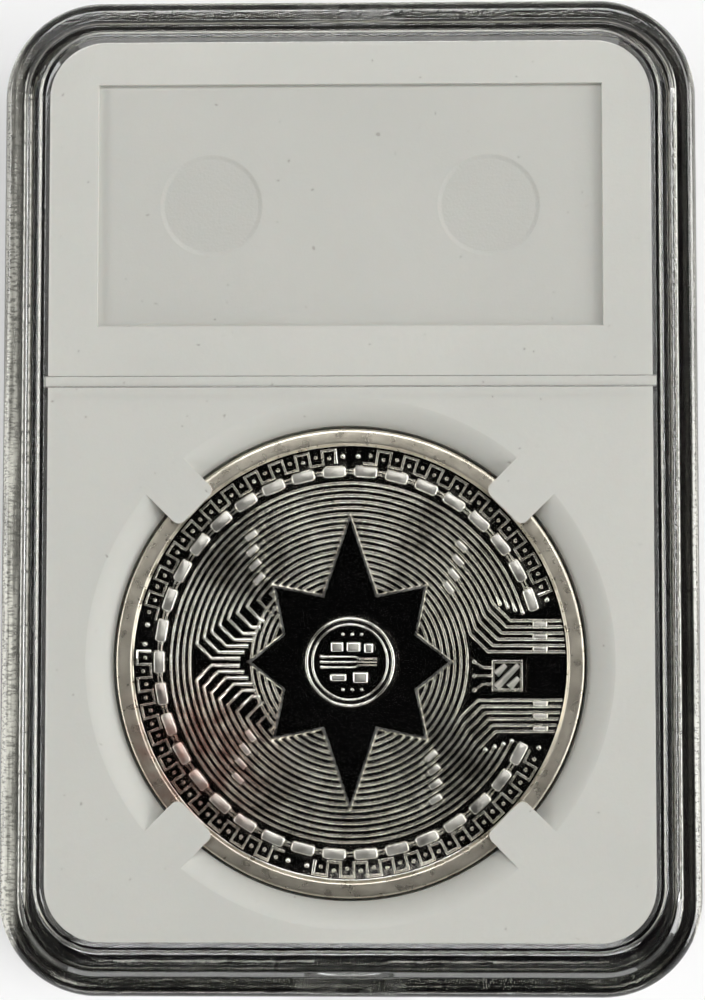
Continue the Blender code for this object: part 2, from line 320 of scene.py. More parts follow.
class Nodes:
    """A node tree and short ways to add to it."""

    def __init__(self, name):
        self.material = bpy.data.materials.new(name)
        self.material.use_nodes = True
        self.tree = self.material.node_tree
        self.shader = self.tree.nodes["Principled BSDF"]
        self.output = self.tree.nodes["Material Output"]
        self.place = self.add("ShaderNodeTexCoord").outputs["Object"]

    def add(self, kind, inputs=None, **values):
        """A node, the numbers on its sockets, and its own settings."""
        node = self.tree.nodes.new(kind)
        for key, value in values.items():
            setattr(node, key, value)
        for key, value in (inputs or {}).items():
            node.inputs[key].default_value = value
        return node

    def link(self, source, target):
        self.tree.links.new(source, target)

    def noise(self, size, detail=3.0, stretch=(1.0, 1.0, 1.0)):
        """Noise with features of about the given size, in metres."""
        mapping = self.add("ShaderNodeMapping", {"Scale": stretch})
        self.link(self.place, mapping.inputs["Vector"])
        texture = self.add("ShaderNodeTexNoise", {"Scale": 1.0 / size, "Detail": detail})
        self.link(mapping.outputs["Vector"], texture.inputs["Vector"])
        return texture.outputs["Fac"]

    def spread(self, source, low, high, start=0.3, end=0.7):
        """The source's range from start to end turned into low to high."""
        span = {"From Min": start, "From Max": end, "To Min": low, "To Max": high}
        node = self.add("ShaderNodeMapRange", span)
        self.link(source, node.inputs["Value"])
        return node.outputs["Result"]

    def blend(self, factor, first, second):
        """Two colours mixed by a factor."""
        node = self.add("ShaderNodeMix", data_type="RGBA")
        self.link(factor, node.inputs["Factor"])
        for value, socket in ((first, node.inputs[6]), (second, node.inputs[7])):
            if isinstance(value, tuple):
                socket.default_value = (*value, 1.0)
            else:
                self.link(value, socket)
        return node.outputs[2]

    def maths(self, operation, first, second):
        node = self.add("ShaderNodeMath", operation=operation)
        for value, socket in ((first, node.inputs[0]), (second, node.inputs[1])):
            if isinstance(value, (int, float)):
                socket.default_value = value
            else:
                self.link(value, socket)
        return node.outputs[0]

    def along(self, axis):
        """The place along one of the object's axes, in metres."""
        split = self.add("ShaderNodeSeparateXYZ")
        self.link(self.place, split.inputs[0])
        return split.outputs[axis]

    def near(self, place, radius):
        """A soft patch of the surface round a place: 1 in its middle and 0 past its radius."""
        gap = self.add("ShaderNodeVectorMath", {1: place}, operation="DISTANCE")
        self.link(self.place, gap.inputs[0])
        return self.spread(gap.outputs["Value"], 1.0, 0.0, 0.25 * radius, radius)

    def drive(self, name, source):
        """Lets a source say one of the shader's values."""
        self.link(source, self.shader.inputs[name])

    def bump(self, source, depth):
        node = self.add("ShaderNodeBump", {"Distance": depth, "Strength": 1.0})
        self.link(source, node.inputs["Height"])
        self.drive("Normal", node.outputs["Normal"])

    def set(self, **values):
        """Sets the shader's own values, where an underscore stands for a space."""
        for key, value in values.items():
            self.shader.inputs[key.replace("_", " ")].default_value = value


def let_light_through(nodes, shade=1.0):
    """Clear plastic that lamps and soft light pass straight, so that what it covers is lit."""
    path = nodes.add("ShaderNodeLightPath")
    passing = nodes.maths("MAXIMUM", path.outputs["Is Shadow Ray"], path.outputs["Is Diffuse Ray"])
    clear = nodes.add("ShaderNodeBsdfTransparent", {"Color": (shade, shade, shade, 1.0)})
    mix = nodes.add("ShaderNodeMixShader")
    nodes.link(passing, mix.inputs[0])
    nodes.link(nodes.shader.outputs[0], mix.inputs[1])
    nodes.link(clear.outputs[0], mix.inputs[2])
    nodes.link(mix.outputs[0], nodes.output.inputs["Surface"])


def styrene(name, haze, ripple, shade=1.0, tone=(0.97, 0.975, 0.97)):
    """Clear moulded styrene with handling haze, and flow ripples of a given depth."""
    nodes = Nodes(name)
    nodes.set(Base_Color=(*tone, 1.0), IOR=STYRENE_INDEX, Transmission_Weight=1.0)
    smears = nodes.noise(4.0 * MM, 4.0)
    nodes.drive("Roughness", nodes.spread(smears, 0.0, haze))
    fine = nodes.noise(0.45 * MM, 2.0)
    broad = nodes.noise(3.0 * MM, 2.0)
    nodes.bump(nodes.maths("ADD", fine, broad), ripple)
    let_light_through(nodes, shade)
    return nodes.material


def weld_plastic():
    """The joint between the two shells, melted together, so that it hardly bends light.

    It is frosty and beaded in a narrow line along each long side."""
    nodes = Nodes("weld_line")
    nodes.set(Base_Color=(0.9, 0.89, 0.82, 1.0), IOR=WELD_INDEX)
    beads = nodes.noise(0.5 * MM, 3.0)
    gap = nodes.maths("SUBTRACT", FRONT_HIGH.x, nodes.maths("ABSOLUTE", nodes.along("X"), 0.0))
    start = nodes.spread(gap, 0.0, 1.0, TONGUE_INSET - 0.1 * MM, TONGUE_INSET)
    end = TONGUE_INSET + TONGUE_THICKNESS
    stop = nodes.spread(gap, 0.65, 0.0, end - 0.1 * MM, end)
    frost = nodes.maths("MULTIPLY", start, stop)
    frost = nodes.maths("MULTIPLY", frost, nodes.spread(beads, 0.2, 1.0, 0.38, 0.55))
    nodes.drive("Transmission Weight", nodes.maths("SUBTRACT", 1.0, frost))
    nodes.drive("Roughness", nodes.spread(beads, 0.02, 0.2))
    nodes.bump(beads, 0.03 * MM)
    let_light_through(nodes)
    return nodes.material


def edge_painted_light():
    """The outer shoulder, with white bands of painted highlight along its long sides, most of all the left
    one.

    The bands fade towards the label end, and painted shade darkens the outer edge of each long side.
    Thumbs have hazed the two scallops."""
    nodes = Nodes("edge_painted_light")
    nodes.set(IOR=STYRENE_INDEX)
    hatches = nodes.noise(0.24 * MM, 3.0, (0.4, 1.3, 1.0))
    across = nodes.along("X")
    away = nodes.maths("ABSOLUTE", across, 0.0)
    gap = nodes.maths("SUBTRACT", FRONT_HIGH.x, away)
    thumbed = nodes.spread(away, 0.26, 0.0, PRY_WIDTH / 2 - 0.3 * MM, PRY_WIDTH / 2)
    prints = nodes.spread(nodes.noise(1.1 * MM, 3.0), 0.1, 1.0, 0.35, 0.6)
    haze = nodes.maths("MULTIPLY", thumbed, prints)
    # Painted shade: a dark line along the outer edge of each long side.
    edge_shade = nodes.spread(gap, 1.0, 0.0, EDGE_SHADE_START, 2 * EDGE_SHADE_START)
    # Painted highlight: white bands along the left and right shoulders, fading towards the label end.
    left = nodes.spread(across, 1.0, 0.0, LEFT_HIGHLIGHT_LIMIT - 0.9 * MM, LEFT_HIGHLIGHT_LIMIT)
    right = nodes.spread(across, 0.0, 0.6, RIGHT_HIGHLIGHT_LIMIT, RIGHT_HIGHLIGHT_LIMIT + 0.15 * MM)
    sheen_fade = nodes.spread(nodes.along("Y"), 1.0, 0.35, -12 * MM, 38 * MM)
    painted_sheen = nodes.maths("MULTIPLY", nodes.maths("MAXIMUM", left, right), sheen_fade)
    painted_sheen = nodes.maths("MULTIPLY", painted_sheen, nodes.spread(hatches, 0.4, 1.0, 0.36, 0.54))
    streaks = nodes.noise(0.35 * MM, 2.0, (1.0, 0.04, 1.0))
    painted_sheen = nodes.maths("MULTIPLY", painted_sheen, nodes.spread(streaks, 0.45, 1.0, 0.36, 0.56))
    white = nodes.maths("MULTIPLY", painted_sheen, 0.92)
    black = nodes.maths("MULTIPLY", edge_shade, 0.75)
    solid = nodes.maths("MAXIMUM", white, black)
    nodes.drive("Transmission Weight", nodes.maths("SUBTRACT", 1.0, solid))
    nodes.drive("Base Color", nodes.blend(edge_shade, (0.84, 0.83, 0.74), (0.05, 0.05, 0.045)))
    nodes.drive("Roughness", nodes.maths("MAXIMUM", haze, nodes.spread(painted_sheen, 0.02, 0.4, 0.0, 1.0)))
    nodes.bump(hatches, 0.012 * MM)
    let_light_through(nodes)
    return nodes.material


def white_plastic(name, depth_shade=0.0, grain_depth=0.008 * MM):
    """The insert's matte white, with flow marks, a fine grain and a few specks.

    Painted shade greys what lies deep under the plate's face, such as the well's slope and the label
    recess."""
    nodes = Nodes(name)
    nodes.set(Specular_IOR_Level=0.35, Subsurface_Weight=0.08, Subsurface_Scale=0.4 * MM)
    flow = nodes.spread(nodes.noise(16.0 * MM, 3.0), 0.0, 1.0)
    tone = nodes.blend(flow, (0.59, 0.588, 0.548), (0.63, 0.624, 0.58))
    mottle = nodes.spread(nodes.noise(0.35 * MM, 3.0), 0.0, 0.12)
    tone = nodes.blend(mottle, tone, (0.42, 0.42, 0.4))
    # Painted shade: the deeper a surface lies under the plate's face, the greyer it is.
    deep = nodes.spread(nodes.along("Z"), depth_shade, 0.0, PLATE_HIGH.z - WELL_SLOPE_DEPTH, PLATE_HIGH.z)
    tone = nodes.blend(deep, tone, (0.34, 0.335, 0.31))
    specks = nodes.spread(nodes.noise(0.7 * MM, 1.0), 0.0, 0.5, 0.76, 0.79)
    nodes.drive("Base Color", nodes.blend(specks, tone, (0.25, 0.22, 0.2)))
    grain = nodes.noise(0.25 * MM, 3.0)
    nodes.drive("Roughness", nodes.spread(grain, 0.38, 0.55))
    nodes.bump(grain, grain_depth)
    return nodes.material


def coin_metal(name, low_tone, high_tone, smooth, rough, grain_size, grain_depth):
    """A plated coin surface. Its roughness wanders, and a painted reddish reflection lies in one quarter of
    it.
    """
    nodes = Nodes(name)
    nodes.set(Metallic=1.0)
    patches = nodes.spread(nodes.noise(2.2 * MM, 4.0), 0.0, 1.0)
    tone = nodes.blend(patches, low_tone, high_tone)
    # Painted reflection: a reddish patch in the coin's lower left quarter.
    x, y = polar(RED_REFLECTION_RADIUS, RED_REFLECTION_ANGLE)
    patch = nodes.near((COIN_CENTRE.x + x * MM, COIN_CENTRE.y + y * MM, COIN_HIGH.z), RED_REFLECTION_SIZE)
    red_reflection = nodes.maths("MULTIPLY", patch, nodes.spread(nodes.noise(1.4 * MM, 4.0), 0.1, 0.9))
    nodes.drive("Base Color", nodes.blend(red_reflection, tone, (0.36, 0.19, 0.15)))
    wander = nodes.noise(1.1 * MM, 4.0)
    nodes.drive("Roughness", nodes.spread(wander, smooth, rough))
    nodes.bump(nodes.noise(grain_size, 3.0), grain_depth)
    return nodes.material


# ---- shells


def front_shell_section():
    """The front shell's section, from the window's front face round the rim to its back face."""
    top = FRONT_HIGH.z
    low = FRONT_LOW.z
    roof = REAR_HIGH.z + CLEARANCE
    groove_out = TONGUE_INSET - CLEARANCE
    groove_in = TONGUE_INSET + TONGUE_THICKNESS + CLEARANCE
    clear = CLEAR_SLOT
    section = [("window", WINDOW_FOOT, PANE_FRONT, clear)]
    section += arc("window", LIP_INSET, SHOULDER_TOP - LIP_ROUND, LIP_ROUND, 135, 90, clear, 6)
    foot = RIDGE_FILLET - RIDGE_LEDGE
    section += arc("window", foot, SHOULDER_TOP + RIDGE_FILLET, RIDGE_FILLET, 270, 360, clear, 4)
    crest = -RIDGE_LEDGE - RIDGE_ROUND
    section += arc("window", crest, top - RIDGE_ROUND, RIDGE_ROUND, 180, 90, clear, 10)
    section += slope("rim", RIDGE_FOOT, SHOULDER_TOP, top, clear)
    section += [("rim", RIDGE_FOOT - FINISH_SEAM, SHOULDER_TOP, EDGE_SLOT)]
    round_low = SHOULDER_TOP - FRONT_SHOULDER
    section += arc("rim", FRONT_SHOULDER, round_low, FRONT_SHOULDER, 90, 0, EDGE_SLOT, 16)
    section += arc("rim", EDGE_ROUND, low + EDGE_ROUND, EDGE_ROUND, 0, -90, clear, 4)
    bend = roof - EDGE_ROUND
    section += [("rim", groove_out, low, WELD_SLOT)]
    section += arc("rim", groove_out + EDGE_ROUND, bend, EDGE_ROUND, 0, 90, WELD_SLOT, 4)
    section += arc("rim", groove_in - EDGE_ROUND, bend, EDGE_ROUND, 90, 180, WELD_SLOT, 4)
    section += [("rim", groove_in, low, clear)]
    section += [("window", -CAVITY_GROWTH, low, clear)]
    fillet = EDGE_ROUND - CAVITY_GROWTH
    section += arc("window", fillet, PANE_BACK - EDGE_ROUND, EDGE_ROUND, 0, 90, clear, 4)
    return section


def rear_shell_section():
    """The rear shell's section, from the cavity's floor over the tongue and round to the back."""
    top = REAR_PARTING
    fillet = EDGE_ROUND - CAVITY_GROWTH
    tongue_in = TONGUE_INSET + TONGUE_THICKNESS
    clear = CLEAR_SLOT
    section = arc("window", fillet, REAR_PANE_FRONT + EDGE_ROUND, EDGE_ROUND, 270, 360, clear, 4)
    section += [("window", -CAVITY_GROWTH, top, clear)]
    section += [("rim", tongue_in, top, WELD_SLOT)]
    bend = REAR_HIGH.z - EDGE_ROUND
    section += arc("rim", tongue_in - EDGE_ROUND, bend, EDGE_ROUND, 180, 90, WELD_SLOT, 4)
    section += arc("rim", TONGUE_INSET + EDGE_ROUND, bend, EDGE_ROUND, 90, 0, WELD_SLOT, 4)
    section += [("rim", TONGUE_INSET, top, clear)]
    section += arc("rim", EDGE_ROUND, top - EDGE_ROUND, EDGE_ROUND, 90, 0, clear, 4)
    section += arc("rim", REAR_SHOULDER, REAR_SHOULDER, REAR_SHOULDER, 0, -90, clear, 12)
    section += arc("window", -REAR_FILLET, REAR_FILLET, REAR_FILLET, 270, 180, clear, 6)
    section += arc("window", REAR_FILLET, REAR_PANE_BACK - REAR_FILLET, REAR_FILLET, 0, 90, clear, 6)
    return section


def window_rib(materials):
    """The bar across the front window, with soft long edges, let into the rim at both ends."""
    low = PANE_FRONT - CLEARANCE
    high = PANE_FRONT + RIB_HEIGHT
    reach = WINDOW_HALF_X + CAVITY_GROWTH
    half = RIB_WIDTH / 2
    profile = [(-half, low), (half, low)]
    for side in (1, -1):
        for step in range(5):
            angle = math.radians(90 * step / 4 if side > 0 else 90 + 90 * step / 4)
            y = side * (half - EDGE_ROUND) + EDGE_ROUND * math.cos(angle)
            profile.append((y, high - EDGE_ROUND + EDGE_ROUND * math.sin(angle)))
    shape = Shape()
    left = shape.add_points([(-reach, RIB_Y + y, z) for y, z in profile])
    right = shape.add_points([(reach, RIB_Y + y, z) for y, z in profile])
    count = len(profile)
    top = count // 2
    for index in range(count):
        after = (index + 1) % count
        # Painted shade: the sides and rounded long edges take the dark-tinted rib material, for dark lines
        # along them.
        slot = CLEAR_SLOT if index == top else RIB_SLOT
        shape.add_face((right[index], left[index], left[after], right[after]), slot)
    shape.add_face(right, RIB_SLOT, smooth=False)
    shape.add_face(reversed(left), RIB_SLOT, smooth=False)
    return shape.build("rib", materials)


def sink_scallops(made):
    """Presses a long shallow dip into the rim's shoulder and ledge, in the middle of each short edge."""
    for vertex in made.data.vertices:
        place = vertex.co
        over = (place.z - SHOULDER_TOP) / (FRONT_HIGH.z - SHOULDER_TOP)
        under = (SHOULDER_TOP - place.z) / FRONT_SHOULDER
        share = 1.0 - max(over, under)
        inset = FRONT_HIGH.y - abs(place.y)
        middle = 1.0 - (2 * place.x / PRY_WIDTH) ** 2
        if share > 0.0 and middle > 0.0 and inset < SCALLOP_REACH:
            place.z -= SCALLOP_SINK * middle * middle * share


def gate_mark(x, materials):
    """A tiny nub left by a moulding gate on the shoulder of the lower edge."""
    y = GATE_INSET - FRONT_HIGH.y
    depth = FRONT_SHOULDER - GATE_INSET
    z = SHOULDER_TOP - FRONT_SHOULDER + math.sqrt(FRONT_SHOULDER**2 - depth**2)
    shape = Shape()
    loops = []
    for step in range(1, GATE_STEPS):
        turn = math.pi * step / GATE_STEPS
        ring = circle(GATE_RADIUS * math.sin(turn), (x, y), 2 * GATE_STEPS)
        height = z + GATE_RADIUS * math.cos(turn)
        loops.append(shape.add_points([(across, along, height) for across, along in ring]))
    shape.add_face(loops[0])
    shape.stack(loops)
    shape.add_face(reversed(loops[-1]))
    return shape.build("gate_mark", materials)


def tidy_normals(made):
    """Turns all faces outwards."""
    shape = bmesh.new()
    shape.from_mesh(made.data)
    bmesh.ops.recalc_face_normals(shape, faces=shape.faces)
    shape.to_mesh(made.data)
    shape.free()


def make_front_shell(materials):
    made = shell_from_section("front_shell_clear", front_shell_section(), materials)
    sink_scallops(made)
    rib = window_rib(materials)
    tidy_normals(rib)
    boolean(made, rib, "UNION")
    for x in GATE_PLACES:
        boolean(made, gate_mark(x, materials), "UNION")
    settle_shading(made, SHELL_SHARP)
    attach(made, "front_shell")
    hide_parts("front_shell")


def make_rear_shell(materials):
    made = shell_from_section("rear_shell_clear", rear_shell_section(), materials)
    for side in (-1, 1):
        edge = side * REAR_HIGH.y
        loop = rounded_loop(PRY_WIDTH / 2, PRY_DEPTH, PRY_CORNER, edge, 0.0, 6)
        low = REAR_PARTING - PRY_HEIGHT
        boolean(made, prism("pry_slot", loop, low, REAR_PARTING + CUT_MARGIN, materials))
    settle_shading(made, SHELL_SHARP)
    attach(made, "rear_shell")
    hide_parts("rear_shell")


# ---- insert


def circle(radius, centre, steps):
    turns = [2 * math.pi * step / steps for step in range(steps)]
    return [(centre[0] + radius * math.cos(turn), centre[1] + radius * math.sin(turn)) for turn in turns]


def prong_space(angle, materials):
    """The space of one finger, from inside the well's wall to over the coin's rim."""
    half = PRONG_WIDTH / 2
    far = WELL_RADIUS + 4 * CUT_MARGIN
    near = PRONG_TIP_RADIUS
    outline = [(far, -half), (far, half)]
    for corner, side in ((1, 1), (2, -1)):
        for step in range(9):
            turn = math.radians(90 * (corner + step / 8))
            x = near + PRONG_ROUND + PRONG_ROUND * math.cos(turn)
            y = side * (half - PRONG_ROUND) + PRONG_ROUND * math.sin(turn)
            outline.append((x, y))
    swung = []
    for out, across in outline:
        x = out * math.cos(angle) - across * math.sin(angle)
        y = out * math.sin(angle) + across * math.cos(angle)
        swung.append((x, COIN_CENTRE.y + y))
    low = PLATE_HIGH.z - PRONG_THICKNESS
    return prism("prong_space", swung, low, PLATE_HIGH.z + 4 * CUT_MARGIN, materials)


def turned(name, profile, centre, materials, slot=0):
    """A solid of revolution. The profile's (radius, height) pairs run from its top to its foot."""
    shape = Shape()
    loops = []
    for radius, height in profile:
        ring = circle(radius, centre, TURNED_STEPS)
        loops.append(shape.add_points([(x, y, height) for x, y in ring]))
    shape.add_face(loops[0], slot, smooth=False)
    shape.stack(loops, slot)
    shape.add_face(reversed(loops[-1]), slot, smooth=False)
    return shape.build(name, materials)


def well_space(materials):
    """The coin's bore and its mouth, which flattens out into the plate, without the prongs' spaces."""
    profile = [(WELL_RADIUS + WELL_BLEND, PLATE_HIGH.z + CUT_MARGIN)]
    span = WELL_RADIUS + WELL_BLEND - BORE_RADIUS
    for step in range(WELL_STEPS + 1):
        share = step / WELL_STEPS
        sunk = (WELL_SLOPE_DEPTH + WELL_LIFT) * share**WELL_POWER
        profile.append((BORE_RADIUS + span * (1 - share), PLATE_HIGH.z + WELL_LIFT - sunk))
    profile.append((BORE_RADIUS, PLATE_LOW.z - CUT_MARGIN))
    made = turned("well_space", profile, (0.0, COIN_CENTRE.y), materials)
    for degrees in PRONG_ANGLES:
        boolean(made, prong_space(math.radians(degrees), materials))
    return made


def ejector_mark(x, floor, materials):
    """The space of a shallow round dish with a soft edge."""
    profile = [(MARK_RADIUS + MARK_BLEND, floor + CUT_MARGIN)]
    for step in range(9):
        share = step / 8
        eased = share * share * (3 - 2 * share)
        height = floor + MARK_LIFT - (MARK_DEPTH + MARK_LIFT) * eased
        profile.append((MARK_RADIUS + MARK_BLEND * (1 - 2 * share), height))
    return turned("mark", profile, (x, LABEL_Y), materials, 1)


def make_front_insert(materials):
    """The white plate in front of the coin, with its well, prongs, label recess and two marks."""
    corner = WINDOW_CORNER + PLATE_TO_WINDOW
    loop = rounded_loop(PLATE_HIGH.x, (PLATE_HIGH.y - PLATE_LOW.y) / 2, corner, WINDOW_Y, 0.0)
    made = prism("front_insert_white", loop, PLATE_LOW.z, PLATE_HIGH.z, materials)
    boolean(made, well_space(materials))
    half_x = LABEL_WIDTH / 2
    half_y = LABEL_HEIGHT / 2
    corners = ((-1, -1), (1, -1), (1, 1), (-1, 1))
    recess = [(half_x * side_x, LABEL_Y + half_y * side_y) for side_x, side_y in corners]
    floor = PLATE_HIGH.z - LABEL_DEPTH
    high = PLATE_HIGH.z + CUT_MARGIN
    boolean(made, prism("recess", recess, floor, high, materials))
    soften = made.modifiers.new("soften", "BEVEL")
    soften.width = PLATE_ROUND
    soften.segments = 4
    soften.limit_method = "ANGLE"
    soften.angle_limit = math.radians(BEVEL_FROM)
    bake_modifiers(made)
    for side in (-1, 1):
        boolean(made, ejector_mark(side * MARK_X, floor, materials))
    for face in made.data.polygons:
        face.use_smooth = abs(face.normal.z) < FLAT_LIMIT
    settle_shading(made, PLATE_SHARP)
    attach(made, "front_insert")
    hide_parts("front_insert")


# ---- coin, drawn in millimetres


def both_sides(half):
    """A ridge's section from its left half, as shares (across, up) of its width and height."""
    return half + tuple((-across, up) for across, up in reversed(half))


# The body, its finishes and its painted reddish reflection
COIN_RADIUS = COIN_HIGH.x / MM
COIN_HALF = (COIN_HIGH.z - COIN_LOW.z) / 2 / MM
FIELD = COIN_HALF - 0.35
RIM_INNER = 18.7
REEDS = 120
REED_DEPTH = 0.09
REED_TOP = COIN_HALF - 0.36
RED_REFLECTION_RADIUS = 15.5
RED_REFLECTION_ANGLE = 212
RED_REFLECTION_SIZE = 9.0 * MM
FIELD_SLOT, RIM_SLOT, LINE_SLOT, FROST_SLOT = range(4)

# The sections of raised lines
ROUND_SECTION = both_sides(((-0.5, -0.3), (-0.5, 0.25), (-0.36, 0.7), (-0.14, 0.96)))
FLAT_SECTION = both_sides(((-0.5, -0.3), (-0.5, 0.5), (-0.4, 0.85), (-0.22, 1.0)))

# The tracks round the emblem, counted from the outermost one
TRACK_PITCH = 0.53
TRACK_WIDTH = 0.27
TRACK_HEIGHT = 0.2
OUTER_TRACK = 15.3
TRACKS = 17
OPEN_TRACKS = 4
STRAIGHT_TRACKS = 6
LINKED_TRACKS = 3
OPEN_UPPER = 4.2
OPEN_LOWER = 6.7
OPEN_STEP = 0.25
UPPER_LEVEL = 3.5
LOWER_LEVEL = 5.9
EAST_TURN = 1.5
EAST_END = 18.35
WEST_LEVEL = 0.3
WEST_TURN = 1.25
WEST_END = -9.4
WEST_STEP = 0.35

# The rings of blocks and of meanders, and the chip
BLOCK_RING = 16.3
BLOCK_PITCH = 360 / 38
MEANDER_IN = 17.02
MEANDER_OUT = 18.2
MEANDER_PITCH = 7.4
MEANDER_RUNS = ((19.5, 9), (94.0, 10), (177.0, 10), (260.0, 10))
CHIP_PLACE = (13.4, -1.2)
CHIP_SIZE = 2.4

# The emblem
STAR_LONG_TIP = 13.0
STAR_WIDE_TIP = 8.9
STAR_SHORT_TIP = 9.5
STAR_VALLEY = 6.3
STAR_RISE = 0.3


def polar(radius, degrees):
    return (radius * math.cos(math.radians(degrees)), radius * math.sin(math.radians(degrees)))


def arc_path(radius, start, end):
    """Points along an arc about the coin's middle, a degree and a half apart."""
    count = max(2, round(abs(end - start) / 1.5))
    return [polar(radius, start + (end - start) * step / count) for step in range(count + 1)]


def side_step(before, here, after):
    """The sideways direction at a path's point, lengthened at a bend to keep the path's width."""
    first = (Vector(here) - Vector(before)).normalized()
    last = (Vector(after) - Vector(here)).normalized()
    along = (first + last).normalized()
    side = Vector((-along.y, along.x))
    stretch = min(1.5, 1.0 / max(0.5, abs(side.dot(Vector((-first.y, first.x))))))
    return side * stretch


def add_ridge(shape, path, width, height, slot, closed=False, floor=FIELD, section=ROUND_SECTION):
    """A ridge along a flat path, with its foot sunk into the floor."""
    count = len(path)
    sections = []
    for index, here in enumerate(path):
        before = path[index - 1] if index or closed else here
        after = path[(index + 1) % count] if index + 1 < count or closed else here
        side = side_step(before, here, after)
        points = []
        for across, up in section:
            x = here[0] + side.x * width * across
            y = here[1] + side.y * width * across
            points.append((x, y, floor + height * up))
        sections.append(shape.add_points(points))
    for index in range(count - 1):
        shape.bridge(sections[index], sections[index + 1], slot)
    if closed:
        shape.bridge(sections[-1], sections[0], slot)
    else:
        shape.add_face(sections[0], slot, smooth=False)
        shape.add_face(reversed(sections[-1]), slot, smooth=False)


def add_pad(shape, centre, degrees, length, width, height, slots, corner=0.18, floor=FIELD):
    """A flat-topped block with a sloped edge, turned by an angle in the face's plane."""
    side_slot, top_slot = slots
    turn = math.radians(degrees)
    loops = []
    for inset, up in ((0.0, -0.1), (0.0, 0.45 * height), (0.08, 0.9 * height), (0.13, height)):
        points = []
        radius = max(0.04, corner - inset)
        for x, y, z in rounded_loop(length / 2 - inset, width / 2 - inset, radius, 0.0, 0.0, 3):
            turned_x = centre[0] + x * math.cos(turn) - y * math.sin(turn)
            turned_y = centre[1] + x * math.sin(turn) + y * math.cos(turn)
            points.append((turned_x, turned_y, floor + up))
        loops.append(shape.add_points(points))
    shape.add_face(reversed(loops[0]), side_slot, smooth=False)
    shape.stack(loops, side_slot, upwards=True)
    shape.add_face(loops[-1], top_slot, smooth=False)


def add_dot(shape, centre, radius, height, slot, floor=FIELD):
    """A small dome."""
    loops = []
    for share, up in ((1.0, -0.1), (1.0, 0.3), (0.85, 0.7), (0.5, 0.95)):
        ring = circle(radius * share, centre, 14)
        loops.append(shape.add_points([(x, y, floor + height * up) for x, y in ring]))
    shape.add_face(reversed(loops[0]), slot, smooth=False)
    shape.stack(loops, slot, upwards=True)
    shape.add_face(loops[-1], slot)


def add_coin_body(shape):
    """The turned disc: sunk fields, round-edged rims and a reeded edge."""
    half = [
        (RIM_INNER - 0.28, FIELD, FIELD_SLOT),
        (RIM_INNER - 0.2, FIELD + 0.02, RIM_SLOT),
        (RIM_INNER - 0.12, FIELD + 0.09, RIM_SLOT),
        (RIM_INNER - 0.04, COIN_HALF - 0.1, RIM_SLOT),
        (RIM_INNER + 0.02, COIN_HALF - 0.03, RIM_SLOT),
        (RIM_INNER + 0.1, COIN_HALF - 0.01, RIM_SLOT),
        (RIM_INNER + 0.16, COIN_HALF - 0.008, RIM_SLOT),
        (RIM_INNER + 0.6, COIN_HALF, RIM_SLOT),
        (COIN_RADIUS - 0.34, COIN_HALF - 0.008, RIM_SLOT),
        (COIN_RADIUS - 0.28, COIN_HALF - 0.01, RIM_SLOT),
        (COIN_RADIUS - 0.12, COIN_HALF - 0.05, RIM_SLOT),
        (COIN_RADIUS - 0.03, COIN_HALF - 0.14, RIM_SLOT),
        (COIN_RADIUS, COIN_HALF - 0.28, LINE_SLOT),
        (COIN_RADIUS, REED_TOP, LINE_SLOT),
    ]
    rows = half + [(radius, -height, slot) for radius, height, slot in reversed(half)]
    steps = 4 * REEDS
    loops = []
    for radius, height, slot in rows:
        sink = REED_DEPTH if abs(height) <= REED_TOP else 0.0
        points = []
        for step in range(steps):
            x, y = polar(radius - sink * (step % 4 < 2), 360 * step / steps)
            points.append((x, y, height))
        loops.append(shape.add_points(points))
    shape.add_face(loops[0], FIELD_SLOT, smooth=False)
    for index in range(len(rows) - 1):
        slot = rows[index][2] if index < len(half) else rows[index + 1][2]
        shape.bridge(loops[index], loops[index + 1], slot)
    shape.add_face(reversed(loops[-1]), FIELD_SLOT, smooth=False)


def add_track_rings(shape):
    """The raised lines round the emblem.

    The outer ones stop on the right with a dot. The middle ones run straight out to the rim there, and
    the inner ones straight in to the emblem on the left."""
    for index in range(TRACKS):
        radius = OUTER_TRACK - index * TRACK_PITCH
        order = index - OPEN_TRACKS
        if order < 0:
            start = math.degrees(math.asin((OPEN_UPPER + OPEN_STEP * index) / radius))
            end = math.degrees(math.asin((OPEN_LOWER + OPEN_STEP * index) / radius))
            paths = [arc_path(radius, start, 360 - end)]
            for place in (paths[0][0], paths[0][-1]):
                add_dot(shape, place, 0.2, TRACK_HEIGHT + 0.02, LINE_SLOT)
        elif order < STRAIGHT_TRACKS:
            paths = [
                half_ring(radius, order, UPPER_LEVEL - order * TRACK_PITCH, 1),
                half_ring(radius, order, LOWER_LEVEL - order * TRACK_PITCH, -1),
            ]
        elif order < STRAIGHT_TRACKS + LINKED_TRACKS:
            upper = half_ring(radius, order, None, 1)
            lower = half_ring(radius, order, None, -1)
            paths = [upper + lower[::-1][1:]]
        else:
            add_track(shape, radius)
            continue
        for path in paths:
            add_ridge(shape, path, TRACK_WIDTH, TRACK_HEIGHT, LINE_SLOT)


def add_track(shape, radius):
    """One whole ring."""
    path = arc_path(radius, 0, 360)[:-1]
    add_ridge(shape, path, TRACK_WIDTH, TRACK_HEIGHT, LINE_SLOT, closed=True)


def half_ring(radius, order, level, side):
    """The upper (side 1) or lower (side -1) half of a ring, from the emblem's left to the right.

    Where level is given, the half leaves its circle on the right and runs out to the rim at that height."""
    near = WEST_LEVEL + order * TRACK_PITCH
    start_y = near + WEST_TURN
    start_x = -math.sqrt(radius**2 - start_y**2)
    path = [(WEST_END + WEST_STEP * order, near), (start_x + WEST_TURN, near)]
    start = 180 - math.degrees(math.asin(start_y / radius))
    if level is None:
        path += arc_path(radius, start, 0)
    else:
        leave_y = level + EAST_TURN
        path += arc_path(radius, start, math.degrees(math.asin(leave_y / radius)))
        turn_x = path[-1][0] + EAST_TURN
        path += [(turn_x, level), (math.sqrt(EAST_END**2 - level**2), level)]
    return [(x, side * y) for x, y in path]


